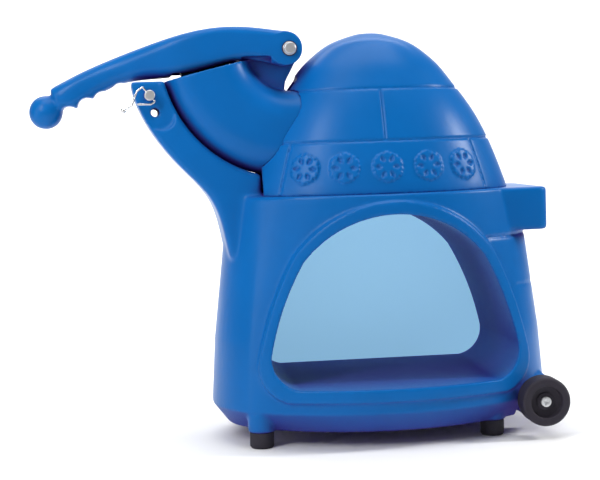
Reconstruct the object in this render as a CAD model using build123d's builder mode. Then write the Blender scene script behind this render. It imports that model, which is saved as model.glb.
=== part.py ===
from build123d import *
import os
from math import cos, sin, radians, sqrt

os.makedirs("parts", exist_ok=True)

# Shaved ice machine, millimetres.
# X runs along the length: lever at -X, wheels at +X.  -Y is the serving front.
# Z is up and the four rubber feet stand on Z = 0.

# ---------------------------------------------------------------- cabinet sizes
body_length = 436.5        # longest level, just above the bottom edge
body_x = 109.25            # middle of the cabinet along X
body_end_x = body_x + body_length / 2
body_start_x = body_x - body_length / 2
half_depth = 150.0         # middle of the bulged front and back
face_bulge = 55.0          # how far the front stands out past its corners
end_bulge = 38.0           # the same for the two ends
corner_round = 42.0        # upright corners
base_z = 20.0              # underside of the cabinet
crease_z = 46.0            # soft crease where the bottom edge turns under
ledge_z = 312.0            # flat ledge the dome stands on
base_inset = 20.0          # the underside is smaller than the crease level
top_inset_x = 28.5         # the ledge is shorter than the crease level
top_inset_y = 18.0
belly_z = 130.0            # the sides stand a little full here
belly_inset_x = 6.0
belly_inset_y = 4.5
wall = 5.0                 # moulded wall
heel_x = body_end_x - 53.5             # the underside steps up here to clear the axle
heel_z = 41.0
joint_x = body_end_x - 95.5            # the moulded block joints start here and run round the wheel end
joint_zs = (252.0, 188.0)
joint_depth = 2.2
joint_height = 4.5

# ---------------------------------------------------------------- passage sizes
arch_half_width = 156.0
arch_floor_z = 76.0
arch_top_z = 287.0
arch_x = 115.5
rim_width = 16.0           # rolled rim round each mouth
rim_proud = 5.0            # how far the rim stands off the bulged face

# ---------------------------------------------------------------- dome sizes
dome_x = 109.5
dome_radius = 176.0        # half length at the ledge
dome_top_z = 515.5
dome_flatten = 0.70        # depth over length
dome_wall = 5.0
flake_count = 5
flake_size = 38.0

# ---------------------------------------------------------------- lever and chute
pivot_x = 1.0
pivot_z = 496.0
chute_outer_r = 162.0      # outside of the curved chute, about the pivot
chute_inner_r = 52.0
chute_half_width = 60.0
chute_wall = 4.0
chute_end_x = 38.0         # the straight tail ends at the cutter housing
mouth_angle = 13.0         # the mouth lies this far below level
lug_half = 18.0
lever_half = 48.0
lever_reach = 307.0        # pivot to the middle of the end knob
lever_drop = 70.0
knob_radius = 21.5
bolt_r = 5.0
neck_half = 55.0
neck_slot_half = 15.3
ear_half = 15.0
pin_x = -176.0
pin_z = 442.0
pin_r = 5.4
spare_hole_x = -170.0
spare_hole_z = 421.0
pin_hole_r = pin_r + 0.1
bush_r = bolt_r + 3.0      # sleeves the lever turns on
bush_flange = 1.5
bush_flange_r = bush_r + 1.5
pivot_washer_r = bolt_r + 3.5

# ---------------------------------------------------------------- cutter and motor
axis_z = pivot_z - (chute_outer_r + chute_inner_r) / 2   # cutter and motor line
disc_x = 46.0
disc_r = 70.0
disc_thick = 8.0
housing_r = 76.0
housing_wall = 3.0
housing_depth = 40.0
housing_gap = 0.6          # room between the housing and the inside of the dome
motor_r = 50.0
motor_start_x = 92.0
motor_length = 92.0
bell_length = 14.0
shaft_r = 7.0

# ---------------------------------------------------------------- feet and wheels
foot_r = 15.0
foot_xs = (body_start_x + 55.0, body_end_x - 87.5)
foot_y = half_depth - 64.0
wheel_r = 30.5
wheel_x = body_end_x - 30.5
wheel_z = 47.0
wheel_face_y = half_depth - 10.0   # outer face of each wheel
wheel_width = 30.0
axle_r = 6.0
wheel_bore_r = axle_r + 3.0
spacer_r = axle_r + 5.0
wheel_dish_r = wheel_r - 10.5      # dished outer face
wheel_dish_depth = 9.0
run_gap = 0.08             # radial clearance of every running fit


def plan_section(z, inset_x, inset_y):
    """One level of the cabinet from above: bulged faces, rounded corners."""
    half_x = body_length / 2 - inset_x
    half_y = half_depth - inset_y
    corner_x = half_x - end_bulge
    corner_y = half_y - face_bulge
    with BuildSketch(Plane.XY.offset(z)) as section:
        with BuildLine():
            ThreePointArc((body_x - corner_x, -corner_y), (body_x, -half_y), (body_x + corner_x, -corner_y))
            ThreePointArc((body_x + corner_x, -corner_y), (body_x + half_x, 0), (body_x + corner_x, corner_y))
            ThreePointArc((body_x + corner_x, corner_y), (body_x, half_y), (body_x - corner_x, corner_y))
            ThreePointArc((body_x - corner_x, corner_y), (body_x - half_x, 0), (body_x - corner_x, -corner_y))
        make_face()
        fillet(section.vertices(), corner_round)
    return section.sketch


def body_levels(shrink, lift_base, drop_top):
    """The four levels the cabinet is drawn through, shrunk by a wall."""
    steep_x = top_inset_x / (ledge_z - crease_z)
    steep_y = top_inset_y / (ledge_z - crease_z)
    low = plan_section(base_z + lift_base, base_inset + shrink, base_inset + shrink)
    mid = plan_section(crease_z, shrink, shrink)
    belly = plan_section(belly_z, belly_inset_x + shrink, belly_inset_y + shrink)
    top = plan_section(
        ledge_z - drop_top,
        top_inset_x - steep_x * drop_top + shrink,
        top_inset_y - steep_y * drop_top + shrink,
    )
    return [low, mid, belly, top]


def arch_section(grow):
    """The rounded triangle of the passage, grown outward all round."""
    half = arch_half_width + grow
    low = arch_floor_z - grow
    high = arch_top_z - arch_floor_z + 2 * grow
    foot, bend, hip = (0.80, 0.0), (0.955, 0.07), (1.0, 0.19)
    side, shoulder = (0.893, 0.475), (0.73, 0.735)

    def at(point, hand):
        return (arch_x + hand * half * point[0], low + high * point[1])

    with BuildSketch(Plane.XZ) as section:
        with BuildLine():
            Line(at(foot, -1), at(foot, 1))
            ThreePointArc(at(foot, 1), at(bend, 1), at(hip, 1))
            ThreePointArc(at(hip, 1), at(side, 1), at(shoulder, 1))
            ThreePointArc(at(shoulder, 1), at((0.0, 1.0), 1), at(shoulder, -1))
            ThreePointArc(at(shoulder, -1), at(side, -1), at(hip, -1))
            ThreePointArc(at(hip, -1), at(bend, -1), at(foot, -1))
        make_face()
    return section.sketch


def arch_bar(grow):
    """The passage as a long bar that runs out past both faces."""
    with BuildPart() as bar:
        extrude(arch_section(grow).moved(Location((0, 200, 0))), amount=400)
    return bar.part


def dome_section(shrink):
    """Half profile of the igloo dome, to be turned about its upright middle."""
    height = dome_top_z - ledge_z
    shape = [(1.0, 0.0), (0.967, 0.09), (0.9, 0.245), (0.82, 0.40), (0.71, 0.56), (0.6, 0.688)]
    shape += [(0.508, 0.79), (0.415, 0.865), (0.29, 0.938), (0.14, 0.984)]
    points = [(dome_radius * u - shrink, ledge_z + height * v - shrink * v) for u, v in shape]
    with BuildSketch(Plane.XZ) as section:
        with BuildLine():
            Spline(*points, (0, dome_top_z - shrink), tangents=[(-0.25, 1), (-1, 0)])
            Polyline((0, dome_top_z - shrink), (0, ledge_z), points[0])
        make_face()
    return section.sketch


def dome_solid(shrink):
    """Solid dome standing on the ledge, flattened front to back."""
    with BuildPart() as solid:
        revolve(dome_section(shrink), axis=Axis.Z)
        scale(by=(1, dome_flatten, 1))
    return solid.part.moved(Location((dome_x, 0, 0)))


def chute_frame_section(shrink, plane):
    """Cross section of the chute: a soft-cornered square between two radii."""
    radial = chute_outer_r - chute_inner_r - 2 * shrink
    across = 2 * (chute_half_width - shrink)
    with BuildSketch(plane) as section:
        RectangleRounded(radial, across, 40.0 - shrink)
    return section.sketch


def chute_solid(shrink, overrun):
    """The curved barrel about the pivot and its straight tail."""
    middle_r = (chute_outer_r + chute_inner_r) / 2
    tail_plane = Plane(
        origin=(pivot_x, 0, pivot_z - middle_r), x_dir=(0, 0, 1), z_dir=(1, 0, 0)
    )
    sweep = 90.0 - mouth_angle + overrun * 8
    pivot_axis = Axis((pivot_x, 0, pivot_z), (0, 1, 0))
    with BuildPart() as solid:
        revolve(chute_frame_section(shrink, tail_plane), axis=pivot_axis, revolution_arc=sweep)
        extrude(chute_frame_section(shrink, tail_plane), amount=chute_end_x - pivot_x + overrun)
    return solid.part


def cylinder_y(radius, y_from, y_to, x, z):
    """Round bar along Y between two stations."""
    with BuildPart() as bar:
        with Locations(Location((x, (y_from + y_to) / 2, z), (90, 0, 0))):
            Cylinder(radius, abs(y_to - y_from))
    return bar.part


def cylinder_x(radius, x_from, x_to, y, z):
    """Round bar along X between two stations."""
    with BuildPart() as bar:
        with Locations(Location(((x_from + x_to) / 2, y, z), (0, 90, 0))):
            Cylinder(radius, abs(x_to - x_from))
    return bar.part


def cylinder_z(radius, z_from, z_to, x, y):
    """Round bar along Z between two stations."""
    with BuildPart() as bar:
        with Locations((x, y, (z_from + z_to) / 2)):
            Cylinder(radius, abs(z_to - z_from))
    return bar.part


def block(x_from, x_to, y_from, y_to, z_from, z_to):
    """Plain block between stations."""
    with BuildPart() as solid:
        with Locations(((x_from + x_to) / 2, (y_from + y_to) / 2, (z_from + z_to) / 2)):
            Box(abs(x_to - x_from), abs(y_to - y_from), abs(z_to - z_from))
    return solid.part


def joint_bars():
    """Level bars that mark where the block joints run."""
    with BuildPart() as bars:
        for index, z in enumerate(joint_zs):
            start = joint_x + 42.0 * index
            add(block(start, 400, -200, 200, z - joint_height / 2, z + joint_height / 2))
    return bars.part


def save(piece, name):
    """Name one piece and write its file."""
    piece.label = name
    export_step(piece, "parts/" + name + ".step")


# ================================================================ neck blank
neck_left = [(-84, 236), (-87, 252), (-103, 307), (-139, 350), (-172, 392), (-190, 426), (-199, 459.5)]
seat_r = chute_outer_r + 0.4
seat_low_x = -40.0
seat_low_z = pivot_z - sqrt(seat_r**2 - (pivot_x - seat_low_x) ** 2)
seat_top_z = 459.5
seat_top_x = pivot_x - sqrt(seat_r**2 - (pivot_z - seat_top_z) ** 2)
seat_mid = (pivot_x - seat_r * cos(radians(40)), pivot_z - seat_r * sin(radians(40)))
with BuildPart() as neck_blank:
    with BuildSketch(Plane.XZ):
        with BuildLine():
            Spline(*neck_left)
            Line(neck_left[-1], (seat_top_x, seat_top_z))
            ThreePointArc((seat_top_x, seat_top_z), seat_mid, (seat_low_x, seat_low_z))
            Polyline((seat_low_x, seat_low_z), (seat_low_x, 280), (-60, 236), neck_left[0])
        make_face()
    extrude(amount=neck_half, both=True)
    fillet(neck_blank.faces().filter_by(Axis.Y).edges(), 7.0)

# ================================================================ cabinet
with BuildPart() as body_cavity:
    loft(sections=body_levels(wall, wall, wall), ruled=True)
    add(arch_bar(wall), mode=Mode.SUBTRACT)
    add(block(heel_x - wall, 400, -200, 200, 0, heel_z + wall), mode=Mode.SUBTRACT)

with BuildPart() as block_joints:
    loft(sections=body_levels(-2.0, 0, 0), ruled=True)
    loft(sections=body_levels(joint_depth, 0, 0), ruled=True, mode=Mode.SUBTRACT)
    add(joint_bars(), mode=Mode.INTERSECT)

with BuildPart() as rims:
    loft(sections=body_levels(-rim_proud, 0, 0), ruled=True)
    add(arch_bar(rim_width), mode=Mode.INTERSECT)

duct_x = chute_end_x + housing_depth / 2
duct_half_x = 17.0
duct_half_y = 46.0
duct_top_z = 318.0
duct_low_z = 262.0
duct_wall = 3.0
duct_gap = 0.3             # clearance of the duct in the ledge
grab_low_z = 257.5
grab_end_x = body_end_x - 5.5
grab_start_x = grab_end_x - 82.0
grab_half_y = 78.0
boss_r = 17.0
boss_top_z = 42.0
switch_x = body_end_x - 89.5
switch_z = 284.0
switch_face_y = half_depth - 38.0
switch_in_y = switch_face_y - 32.0
gland_x = body_start_x + 85.0
gland_z = 276.0
gland_face_y = half_depth - 42.0
gland_in_y = gland_face_y - 28.0
recess_depth = 4.0         # long recess round the pin holes
recess_length = 98.0
recess_width = 36.0
recess_turn = -64.0
fork_floor_z = 428.0       # bottom of the slot that takes the chute ear
clip_xs = (60.0, 170.0)
top_clip_xs = (88.0, 143.0)
window_y = half_depth - 50.0   # back face of the window
window_thick = 4.0
clip_front_y = window_y + 0.2
clip_depth = 11.8
clip_screw_y = clip_front_y + clip_depth / 2

dome_screw_x = dome_radius - 72.0
dome_screw_y = dome_radius * dome_flatten - 39.2
dome_screw_spots = [(dome_x + sx * dome_screw_x, sy * dome_screw_y) for sx in (-1, 1) for sy in (-1, 1)]
plate_bolt_spots = [(x, y) for x in (106.0, 178.0) for y in (-54.0, 54.0)]
housing_screw_spots = [(71.0, y) for y in (-65.0, 65.0)]
ledge_holes = [(x, y, 2.6) for x, y in dome_screw_spots]
ledge_holes += [(x, y, 3.1) for x, y in plate_bolt_spots]
ledge_holes += [(x, y, 2.6) for x, y in housing_screw_spots]

with BuildPart() as grab_block:
    with Locations(((grab_end_x + grab_start_x) / 2, 0, (ledge_z + grab_low_z) / 2)):
        Box(grab_end_x - grab_start_x, 2 * grab_half_y, ledge_z - grab_low_z)
    fillet(grab_block.faces().sort_by(Axis.X)[-1].edges().filter_by(Axis.Z), 12.0)
    fillet(grab_block.faces().sort_by(Axis.X)[-1].edges(), 4.0)

with BuildPart() as cabinet:
    loft(sections=body_levels(0, 0, 0), ruled=True)
    add(block_joints.part, mode=Mode.SUBTRACT)
    add(rims.part)
    add(grab_block.part)
    add(neck_blank.part)
    add(block(heel_x, 400, -200, 200, 0, heel_z), mode=Mode.SUBTRACT)
    for x in foot_xs:
        for y in (-foot_y, foot_y):
            with Locations((x, y, (base_z + boss_top_z) / 2)):
                Cylinder(boss_r, boss_top_z - base_z)
    for hand in (-1, 1):
        boss_end = wheel_face_y - wheel_width - 2.5
        with Locations(Location((wheel_x, hand * (boss_end - 22.0), wheel_z), (-90 * hand, 0, 0))):
            Cone(30.0, 14.0, 44.0)
    # bosses behind the switch and the gland
    add(block(switch_x - 24, switch_x + 24, switch_in_y, switch_face_y, switch_z - 17, switch_z + 17))
    add(cylinder_y(17.0, gland_in_y, gland_face_y, gland_x, gland_z))
    add(arch_bar(0), mode=Mode.SUBTRACT)
    add(body_cavity.part, mode=Mode.SUBTRACT)
    # long shallow recess round the two pin holes, on both faces of the neck
    for y in (-neck_half + recess_depth, neck_half):
        with BuildSketch(Plane.XZ.offset(-y)) as recess:
            with Locations(Location((pin_x, pin_z + 2, 0), (0, 0, recess_turn))):
                SlotOverall(recess_length, recess_width)
        extrude(recess.sketch, amount=recess_depth, mode=Mode.SUBTRACT)
    # slot of the fork that takes the chute ear
    add(block(-230, -120, -neck_slot_half, neck_slot_half, fork_floor_z, 470), mode=Mode.SUBTRACT)
    add(cylinder_y(pin_hole_r, -80, 80, pin_x, pin_z), mode=Mode.SUBTRACT)
    add(cylinder_y(pin_hole_r, -80, 80, spare_hole_x, spare_hole_z), mode=Mode.SUBTRACT)
    # way down for the shaved ice, through the ledge and the passage roof
    hole_half_x = duct_half_x + duct_gap
    hole_half_y = duct_half_y + duct_gap
    duct_hole = block(duct_x - hole_half_x, duct_x + hole_half_x, -hole_half_y, hole_half_y, 240, 330)
    add(duct_hole, mode=Mode.SUBTRACT)
    # holes for the dome, motor and housing screws in the ledge
    for x, y, r in ledge_holes:
        add(cylinder_z(r, ledge_z - 12, ledge_z + 1, x, y), mode=Mode.SUBTRACT)
    # axle, gland and switch holes
    add(cylinder_y(axle_r + run_gap, -wheel_face_y, wheel_face_y, wheel_x, wheel_z), mode=Mode.SUBTRACT)
    add(cylinder_y(8.1, gland_in_y - 20, gland_face_y + 22, gland_x, gland_z), mode=Mode.SUBTRACT)
    switch_hole_y = (switch_in_y - 20, switch_face_y + 18)
    add(block(switch_x - 14.2, switch_x + 14.2, *switch_hole_y, switch_z - 9.2, switch_z + 9.2), mode=Mode.SUBTRACT)
    # screw holes of the window clips
    for x in clip_xs:
        add(cylinder_z(2.05, 66, 80, x, clip_screw_y), mode=Mode.SUBTRACT)
    for x in top_clip_xs:
        add(cylinder_z(2.05, 270, 300, x, clip_screw_y), mode=Mode.SUBTRACT)
    # screw holes over the feet
    for x in foot_xs:
        for y in (-foot_y, foot_y):
            with Locations((x, y, (base_z + 40) / 2)):
                Cylinder(3.1, 40 - base_z + 0.02, mode=Mode.SUBTRACT)
save(cabinet.part, "cabinet")

# ================================================================ dome cover
groove_levels = (0.32, 0.64)          # block joints, as shares of the dome height
groove_depth = 2.0


def dome_radius_at(share):
    """Half length of the dome at a share of its height, read off the profile."""
    shape = [(1.0, 0.0), (0.967, 0.09), (0.9, 0.245), (0.82, 0.40), (0.71, 0.56), (0.6, 0.688)]
    shape += [(0.508, 0.79), (0.415, 0.865), (0.29, 0.938), (0.0, 1.0)]
    for (r0, h0), (r1, h1) in zip(shape, shape[1:]):
        if h0 <= share <= h1:
            return dome_radius * (r0 + (r1 - r0) * (share - h0) / (h1 - h0))
    return 0.0


def dome_shell():
    """Hollow dome with block joints pressed into it, turned round, not yet flattened."""
    height = dome_top_z - ledge_z
    with BuildPart() as shell:
        revolve(dome_section(0), axis=Axis.Z)
        for share in groove_levels:
            with BuildSketch(Plane.XZ) as notch:
                with Locations((dome_radius_at(share), ledge_z + height * share)):
                    Circle(groove_depth)
            revolve(notch.sketch, axis=Axis.Z, mode=Mode.SUBTRACT)
        revolve(dome_section(dome_wall), axis=Axis.Z, mode=Mode.SUBTRACT)
    return shell.part


def flake_prism():
    """Six-armed snow crystal, standing along +Z, centred on the origin."""
    with BuildPart() as flake:
        for turn in (0, 60, 120):
            with Locations(Location((0, 0, 0), (0, 0, turn))):
                Box(5.0, flake_size, 60)
        for turn in range(0, 360, 60):
            a = radians(turn + 90)
            for lean in (-55, 55):
                x = cos(a) * flake_size * 0.30
                y = sin(a) * flake_size * 0.30
                with Locations(Location((x, y, 0), (0, 0, turn + lean))):
                    with Locations((0, 4.5, 0)):
                        Box(3.6, 9.0, 60)
    return flake.part


flake_proud = 3.0
flake_share = 0.16
with BuildPart() as dome_outer_skin:
    add(dome_solid(-flake_proud))
    add(dome_solid(dome_wall / 2), mode=Mode.SUBTRACT)

upright_joints = [(0, 0.32, 0.64), (90, 0.32, 0.64), (180, 0.32, 0.64)]
upright_joints += [(turn, 0.0, 0.32) for turn in (48, 132, 228, 312)]
with BuildPart() as joint_lines:
    for turn, low_share, high_share in upright_joints:
        height = dome_top_z - ledge_z
        with Locations(Location((0, 0, 0), (0, 0, turn))):
            with Locations((0, -dome_radius / 2 - 20, ledge_z + height * (low_share + high_share) / 2)):
                Box(4.0, dome_radius, height * (high_share - low_share))
    revolve(dome_section(groove_depth), axis=Axis.Z, mode=Mode.SUBTRACT)

with BuildPart() as flakes:
    middle = (flake_count - 1) / 2
    band_z = ledge_z + (dome_top_z - ledge_z) * flake_share
    band_r = dome_radius_at(flake_share)
    for hand in (-1, 1):
        for index in range(flake_count):
            turn = radians((index - middle) * 18.5)
            spot = (dome_x + band_r * sin(turn), hand * band_r * dome_flatten * cos(turn), band_z)
            facing = Vector(sin(turn), hand * cos(turn) / dome_flatten, 0.45)
            level = (cos(turn), -hand * sin(turn), 0)
            add(flake_prism().moved(Plane(origin=spot, x_dir=level, z_dir=facing).location))
    add(dome_outer_skin.part, mode=Mode.INTERSECT)

with BuildPart() as dome_blank:
    add(dome_shell())
    add(joint_lines.part, mode=Mode.SUBTRACT)
    scale(by=(1, dome_flatten, 1))

with BuildPart() as dome_cover:
    add(dome_blank.part.moved(Location((dome_x, 0, 0))))
    add(flakes.part)
    # flange inside the foot of the dome, for the screws
    with BuildSketch(Plane.XY.offset(ledge_z)):
        with Locations((dome_x, 0)):
            Ellipse(dome_radius - 2, (dome_radius - 2) * dome_flatten)
            Ellipse(dome_radius - 22, (dome_radius - 22) * dome_flatten - 6, mode=Mode.SUBTRACT)
    extrude(amount=4.0)
    # room for the neck, the chute and its lug
    add(block(-90, seat_low_x + 1.0, -150, 150, 300, 420), mode=Mode.SUBTRACT)
    add(chute_solid(-0.6, 1), mode=Mode.SUBTRACT)
    add(block(-60, pivot_x + 12, -lug_half - 0.6, lug_half + 0.6, 425, 462), mode=Mode.SUBTRACT)
    # relief for the rim of the cutter housing
    relief_x = (chute_end_x - housing_gap, chute_end_x + housing_depth + housing_gap)
    add(cylinder_x(housing_r + housing_gap, *relief_x, 0, axis_z), mode=Mode.SUBTRACT)
    for x, y in dome_screw_spots:
        with Locations((x, y, ledge_z + 2)):
            Cylinder(2.6, 8, mode=Mode.SUBTRACT)
save(dome_cover.part, "dome_cover")

# ================================================================ feed chute
with BuildPart() as feed_chute:
    add(chute_solid(0, 0))
    with BuildSketch(Plane.XZ):
        with Locations((pivot_x, pivot_z)):
            Circle(16.5)
        with BuildLine():
            Polyline(
                (pivot_x - 16, pivot_z),
                (pivot_x - 49, pivot_z - 11.5),
                (pivot_x - 47, pivot_z - 26),
                (pivot_x - 24, pivot_z - 52),
                (pivot_x - 6, pivot_z - 58),
                (pivot_x - 3, pivot_z - 40),
                (pivot_x + 15.5, pivot_z - 6),
                close=True,
            )
        make_face()
    extrude(amount=lug_half, both=True)
    # ear that stands in the fork of the neck
    with BuildSketch(Plane.XZ):
        with BuildLine():
            Polyline((-150, 452), (-190, 452), (-190, 436), (-180, 431), (-140, 431), close=True)
        make_face()
    extrude(amount=ear_half, both=True)
    add(chute_solid(chute_wall, 4), mode=Mode.SUBTRACT)
    add(cylinder_y(bolt_r + run_gap, -30, 30, pivot_x, pivot_z), mode=Mode.SUBTRACT)
    add(cylinder_y(pin_r + run_gap, -30, 30, pin_x, pin_z), mode=Mode.SUBTRACT)
save(feed_chute.part, "feed_chute")

# ================================================================ lever
pusher_bolt_spots = [(x, y) for x in (-132.0, -80.0) for y in (-25.0, 25.0)]
lever_stations = [
    # x, middle z, height, width, corner radius, rise of the path
    (-4.0, 496.5, 45.0, 96.0, 10.0, 0.10),
    (-56.0, 504.5, 41.5, 96.0, 10.0, 0.04),
    (-112.0, 497.5, 49.0, 96.0, 11.0, -0.20),
    (-155.0, 488.5, 45.5, 82.0, 13.0, -0.24),
    (-199.0, 479.5, 35.5, 54.0, 14.0, -0.27),
    (-250.0, 459.8, 35.5, 40.0, 15.0, -0.42),
    (-294.0, 440.0, 32.5, 36.0, 14.5, -0.48),
]
knob_x = pivot_x - lever_reach
knob_z = pivot_z - lever_drop
groove_r = 12.0
groove_spots = [(-277, 421), (-254, 431), (-234, 438.5), (-211, 448.5)]
boss_x = pivot_x - 4.5       # rounded end of the lever round the pivot
boss_z = pivot_z + 0.5
lever_end_r = 21.5
mouth_edge_x = pivot_x - chute_inner_r * cos(radians(mouth_angle))
mouth_edge_z = pivot_z - chute_inner_r * sin(radians(mouth_angle))
mouth_gap = 1.0              # lever's underside clears the chute mouth by this


def lever_section(x, z, height, width, corner, rise):
    """One cross section of the lever, square to its path."""
    level = Plane(origin=(x, 0, z), x_dir=(0, 1, 0), z_dir=(-1, 0, rise))
    with BuildSketch(level) as section:
        RectangleRounded(width, height, corner)
    return section.sketch


with BuildPart() as lever_arm:
    loft(sections=[lever_section(*station) for station in lever_stations])
    add(block(-400, 100, -lever_half, lever_half, 350, 560), mode=Mode.INTERSECT)
    add(cylinder_y(lever_end_r, -lever_half, lever_half, boss_x, boss_z))
    # finger grooves under the grip
    for x, z in groove_spots:
        add(cylinder_y(groove_r, -30, 30, x, z), mode=Mode.SUBTRACT)
    with Locations(Location((knob_x, 0, knob_z), (90, 0, 180))):
        Sphere(knob_radius)
    # open underside over the chute mouth
    add(block(-146, -62, -36, 36, 430, 494), mode=Mode.SUBTRACT)
    # shallow relief over the inner edge of the chute mouth
    add(block(-62, mouth_edge_x + 4, -42, 42, 460, mouth_edge_z + mouth_gap), mode=Mode.SUBTRACT)
    # notch in the front skirt beside the pivot
    add(block(-60, -22, -60, -30, 460, 487.5), mode=Mode.SUBTRACT)
    for x, y in pusher_bolt_spots:
        add(cylinder_z(3.05, 480, 506.5, x, y), mode=Mode.SUBTRACT)
    # gap between the cheeks for the chute lug
    add(cylinder_y(59.0, -lug_half - 0.6, lug_half + 0.6, pivot_x, pivot_z), mode=Mode.SUBTRACT)
    add(cylinder_y(bush_r, -60, 60, pivot_x, pivot_z), mode=Mode.SUBTRACT)
save(lever_arm.part, "lever_arm")

# ---------------------------------------------------------------- lever fittings
with BuildPart() as lever_bushes:
    for hand in (-1, 1):
        inner = lug_half + 1.0
        add(cylinder_y(bush_r, hand * inner, hand * lever_half, pivot_x, pivot_z))
        add(cylinder_y(bush_flange_r, hand * lever_half, hand * (lever_half + bush_flange), pivot_x, pivot_z))
    add(cylinder_y(bolt_r + run_gap, -80, 80, pivot_x, pivot_z), mode=Mode.SUBTRACT)
save(lever_bushes.part, "lever_bushes")

washer_in = lever_half + bush_flange + 0.15
washer_out = washer_in + 1.6
with BuildPart() as pivot_washers:
    for hand in (-1, 1):
        add(cylinder_y(pivot_washer_r, hand * washer_in, hand * washer_out, pivot_x, pivot_z))
    add(cylinder_y(bolt_r, -80, 80, pivot_x, pivot_z), mode=Mode.SUBTRACT)
save(pivot_washers.part, "pivot_washers")

with BuildPart() as pivot_bolt:
    add(cylinder_y(bolt_r, -washer_out, washer_out + 10.5, pivot_x, pivot_z))
    add(cylinder_y(bolt_r * 1.5, -washer_out - 4.5, -washer_out, pivot_x, pivot_z))
    fillet(pivot_bolt.faces().sort_by(Axis.Y)[0].edges(), 1.8)
save(pivot_bolt.part, "pivot_bolt")

with BuildPart() as pivot_nut:
    with BuildSketch(Plane.XZ.offset(-washer_out)):
        with Locations((pivot_x, pivot_z)):
            RegularPolygon(bolt_r * 1.8, 6)
            Circle(bolt_r, mode=Mode.SUBTRACT)
    extrude(amount=-8.0)
save(pivot_nut.part, "pivot_nut")

# ================================================================ pusher
pusher_face_angle = 71.0      # below level, measured to the middle of the plate
plate_half_angle = 2.4
web_inner_r = 76.0
web_outer_r = 138.0
web_half = 13.0
flange_z = 487.8
middle_r = (chute_outer_r + chute_inner_r) / 2
plate_start = radians(pusher_face_angle - plate_half_angle)
plate_plane = Plane(
    origin=(pivot_x - middle_r * cos(plate_start), 0, pivot_z - middle_r * sin(plate_start)),
    x_dir=(cos(plate_start), 0, sin(plate_start)),
    z_dir=(sin(plate_start), 0, -cos(plate_start)),
)
with BuildPart() as pusher:
    revolve(
        chute_frame_section(chute_wall + 2.0, plate_plane),
        axis=Axis((pivot_x, 0, pivot_z), (0, -1, 0)),
        revolution_arc=2 * plate_half_angle,
    )
    with BuildSketch(Plane.XZ):
        with BuildLine():
            a0 = radians(4.0)
            a1 = radians(38.0)
            a2 = radians(pusher_face_angle)
            outer = [(pivot_x - web_outer_r * cos(a), pivot_z - web_outer_r * sin(a)) for a in (a0, a1, a2)]
            inner = [(pivot_x - web_inner_r * cos(a), pivot_z - web_inner_r * sin(a)) for a in (a2, a1, a0)]
            ThreePointArc(*outer)
            Line(outer[2], inner[0])
            ThreePointArc(*inner)
            Line(inner[2], outer[0])
        make_face()
    extrude(amount=web_half, both=True)
    add(block(-143, -68, -34, 34, flange_z, 494))
    add(block(-160, -60, -50, 50, 494, 520), mode=Mode.SUBTRACT)
    for x, y in pusher_bolt_spots:
        with Locations((x, y, 490)):
            Cylinder(3.1, 20, mode=Mode.SUBTRACT)
save(pusher.part, "pusher")

with BuildPart() as pusher_bolts:
    for x, y in pusher_bolt_spots:
        add(cylinder_z(3.0, flange_z - 0.02, 506, x, y))
        with BuildSketch(Plane.XY.offset(flange_z)):
            with Locations((x, y)):
                RegularPolygon(5.8, 6)
        extrude(amount=-4.2)
save(pusher_bolts.part, "pusher_bolts")

# ================================================================ retaining pin and its wire clip
recess_face = neck_half - recess_depth
head_start = recess_face + 5.5
head_end = head_start + 11.0
head_mid = (head_start + head_end) / 2
hole_dir = Vector(15.3, 0, -18.9)      # the clip wire runs this way through the head
wire_r = 1.2
with BuildPart() as retaining_pin:
    add(cylinder_y(pin_r, -head_start, recess_face + 7.5, pin_x, pin_z))
    fillet(retaining_pin.faces().sort_by(Axis.Y)[-1].edges(), 2.0)
    add(cylinder_y(pin_r + 1.2, -head_end, -head_start, pin_x, pin_z))
    fillet(retaining_pin.faces().sort_by(Axis.Y)[0].edges(), 1.5)
    cross = Plane(origin=(pin_x, -head_mid, pin_z), z_dir=hole_dir)
    with Locations(cross):
        Cylinder(wire_r + 0.16, 40, mode=Mode.SUBTRACT)
save(retaining_pin.part, "retaining_pin")


clip_y = -head_mid
# the wire's corners, from the hole in the pin's head
clip_bends = [(-15.5, -10.6), (1.0, -11.2), (6.8, -8.4), (-8.5, 10.5)]
clip_bends += [(-15.5, 5.5), (-19.5, -4.5), (-22.0, -12.0)]
clip_tip = (-33.0, -18.0)
clip_bend_r = 1.9
clip_ball_r = 3.4
with BuildPart() as pin_clip:
    with BuildLine() as clip_path:
        corners = [(pin_x + x, clip_y, pin_z + z) for x, z in clip_bends + [clip_tip]]
        FilletPolyline(*corners, radius=clip_bend_r)
    with BuildSketch(Plane(origin=clip_path.line @ 0, z_dir=clip_path.line % 0)):
        Circle(wire_r)
    sweep()
    with Locations(Location((pin_x + clip_tip[0], clip_y, pin_z + clip_tip[1]), (0, 90, 0))):
        Sphere(clip_ball_r)
save(pin_clip.part, "pin_clip")

# ================================================================ cutter and motor
blade_turns = (0, 120, 240)
with BuildPart() as cutter_disc:
    add(cylinder_x(disc_r, disc_x, disc_x + disc_thick, 0, axis_z))
    add(cylinder_x(22.0, disc_x + disc_thick, disc_x + disc_thick + 8, 0, axis_z))
    for turn in blade_turns:
        with Locations(Location((disc_x + disc_thick / 2, 0, axis_z), (turn, 0, 0))):
            with Locations((0, 0, 44.0)):
                Box(20, 3.0, 40.0, mode=Mode.SUBTRACT)
            with Locations((disc_thick / 2, 5.5, 44.0)):
                Box(disc_thick * 2, 8.0, 36.0, mode=Mode.SUBTRACT)
            for lift in (30.0, 56.0):
                with Locations(Location((0, -6.5, lift), (0, 90, 0))):
                    Cylinder(1.6, 30, mode=Mode.SUBTRACT)
    add(cylinder_x(shaft_r, disc_x - 20, disc_x + 40, 0, axis_z), mode=Mode.SUBTRACT)
save(cutter_disc.part, "cutter_disc")

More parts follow.
